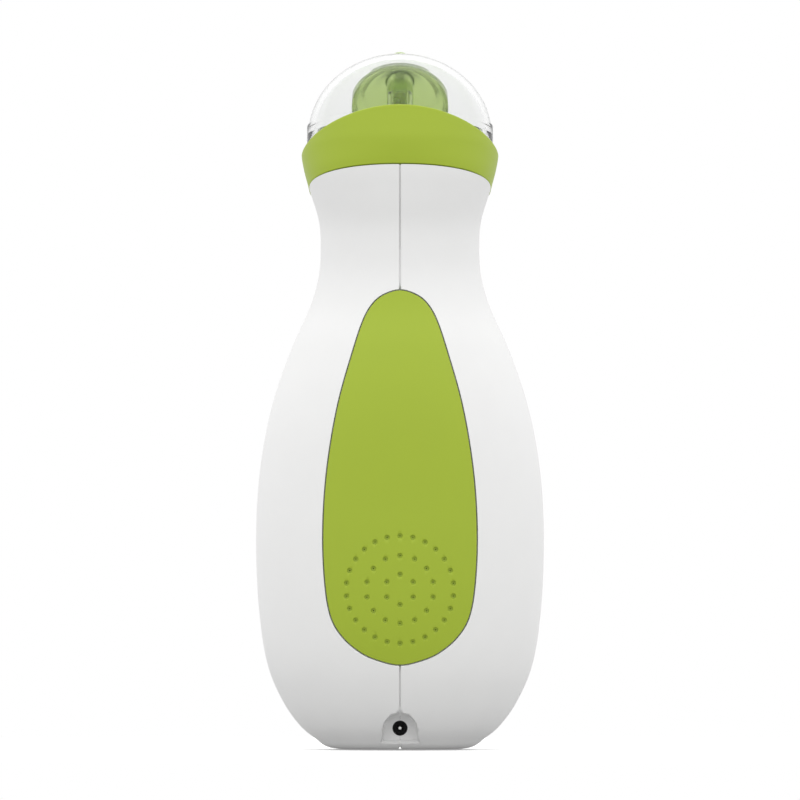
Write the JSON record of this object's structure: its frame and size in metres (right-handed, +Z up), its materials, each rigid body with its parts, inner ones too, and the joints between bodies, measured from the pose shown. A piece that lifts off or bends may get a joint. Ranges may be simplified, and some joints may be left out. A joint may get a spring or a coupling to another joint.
{
  "type": "nasal aspirator",
  "caption": "Cordless nasal aspirator: bottle-shaped hand piece with green panels and collar, a clear lift-off collecting dome with an angled nose tip, and a motor-driven suction pump inside.",
  "frame": {"origin": "centre of the plan of the whole object, on the flat base", "axes": "+Z up along the body; the front, with the controls and the nozzle, faces -Y; the back, with the speaker grille and the charging socket, faces +Y; the object's left side is +X"},
  "size_m": [0.0742, 0.0686, 0.1802],
  "materials": {
    "white_shell": "satin moulded ABS",
    "green_plastic": "fine moulded, lime green",
    "clear_plastic": "clear polished plastic",
    "green_translucent": "translucent green plastic",
    "soft_green": "soft translucent silicone",
    "grey_plastic": "matt moulded",
    "black_plastic": "matt moulded",
    "black_rubber": "matt",
    "steel": "zinc-plated",
    "copper": "enamelled copper winding",
    "board": "green solder mask",
    "cell_sleeve": "shrink sleeve",
    "paper": "pressed fibre",
    "light": "diffusing resin"
  },
  "bodies": {
    "root": {"shell_left": "white_shell", "shell_right": "white_shell", "collar": "green_plastic", "rear_panel": "green_plastic", "front_panel": "green_plastic", "speaker_frame": "green_plastic", "level_lens": "clear_plastic", "chamber_cup": "green_translucent", "speaker_cone": "soft_green", "chassis": "grey_plastic", "pump_crankcase": "grey_plastic", "valve_plate": "grey_plastic", "pump_cover": "grey_plastic", "dc_jack": "black_plastic", "motor_end_cap": "black_plastic", "power_switch": "black_plastic", "plus_switch": "black_plastic", "minus_switch": "black_plastic", "dome_seal": "black_rubber", "inlet_valve": "black_rubber", "outlet_valve": "black_rubber", "suction_tube": "black_rubber", "motor_mount": "black_rubber", "motor_can": "steel", "speaker_magnet": "steel", "dc_pin": "steel", "case_screw_1": "steel", "case_screw_2": "steel", "case_screw_3": "steel", "case_screw_4": "steel", "main_board": "board", "battery_cell_left": "cell_sleeve", "battery_cell_right": "cell_sleeve", "suction_filter": "paper", "level_light_1": "light", "level_light_2": "light", "level_light_3": "light", "level_light_4": "light", "level_light_5": "light"},
    "head": {"head_dome": "clear_plastic"},
    "nozzle": {"nozzle_cap": "green_translucent"},
    "tip": {"nose_tip": "soft_green"},
    "power_key": {"power_button": "white_shell"},
    "plus_key": {"plus_button": "white_shell"},
    "minus_key": {"minus_button": "white_shell"},
    "rotor": {"motor_shaft": "steel", "motor_armature": "copper", "eccentric": "grey_plastic"},
    "piston": {"connecting_rod": "white_shell", "diaphragm": "black_rubber"}
  },
  "joints": [
    {"name": "head_lift", "type": "slide", "parent": "root", "child": "head", "axis": [0, -0.1736, 0.9848], "range_m": [0, 0.05]},
    {"name": "nozzle_pull", "type": "slide", "parent": "head", "child": "nozzle", "axis": [0, -0.8572, 0.515], "range_m": [0, 0.03]},
    {"name": "tip_pull", "type": "slide", "parent": "nozzle", "child": "tip", "axis": [0, -0.8572, 0.515], "range_m": [0, 0.015]},
    {"name": "power_press", "type": "slide", "parent": "root", "child": "power_key", "axis": [0, 1, 0], "range_m": [0, 0.0008], "stiffness_N_per_m": 150},
    {"name": "plus_press", "type": "slide", "parent": "root", "child": "plus_key", "axis": [0, 1, 0], "range_m": [0, 0.0008], "stiffness_N_per_m": 150},
    {"name": "minus_press", "type": "slide", "parent": "root", "child": "minus_key", "axis": [0, 1, 0], "range_m": [0, 0.0008], "stiffness_N_per_m": 150},
    {"name": "rotor_spin", "type": "hinge", "parent": "root", "child": "rotor", "pos_m": [0, -0.00198, 0.09], "axis": [0, 0, 1], "continuous": true},
    {"name": "piston_stroke", "type": "slide", "parent": "root", "child": "piston", "axis": [0, 1, 0], "range_m": [-0.0012, 0.0012]}
  ]
}
